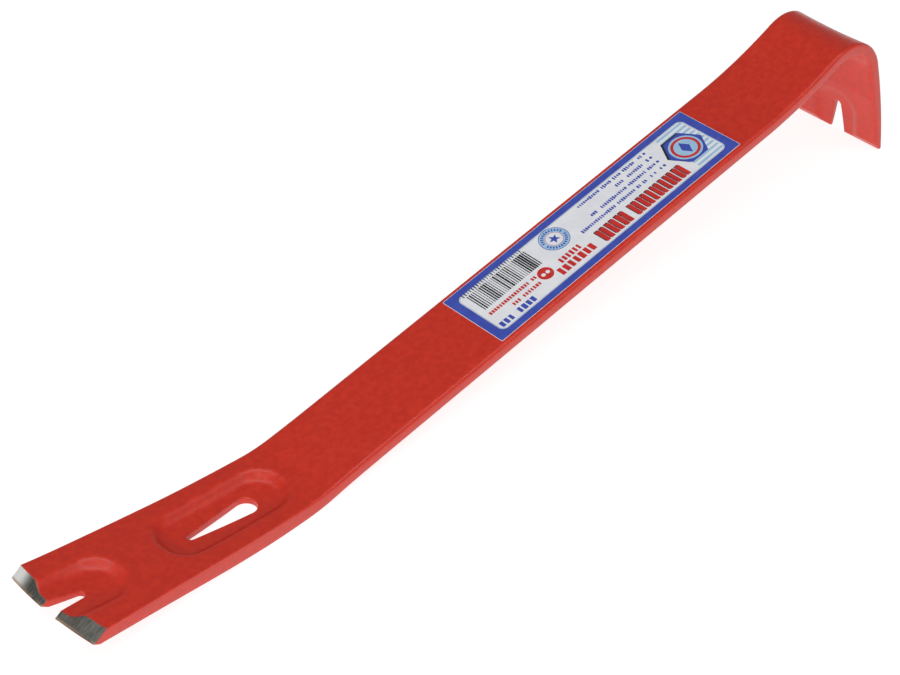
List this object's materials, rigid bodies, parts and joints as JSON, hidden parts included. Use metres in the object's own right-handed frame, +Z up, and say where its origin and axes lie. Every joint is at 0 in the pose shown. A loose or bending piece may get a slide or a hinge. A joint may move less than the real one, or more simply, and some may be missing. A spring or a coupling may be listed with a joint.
{
  "type": "flat pry bar",
  "caption": "Flat utility pry bar with a notched bevelled claw, a teardrop nail slot, a rolled hook with a nail notch, and a printed label on the shank.",
  "frame": {"origin": "bottom centre of the bounding box: on the bench, half-way along the bar and on its symmetry plane", "axes": "+X along the bar from the claw to the hook, +Z up as it rests on its heel and hook tips, Y across the bar"},
  "size_m": [0.38, 0.041, 0.0546],
  "materials": {
    "forged_bar": "gloss enamel, bare ground steel at the claw's edge",
    "label": "satin printed film"
  },
  "bodies": {
    "root": {"forged_bar": "forged_bar", "label": "label"}
  },
  "joints": []
}
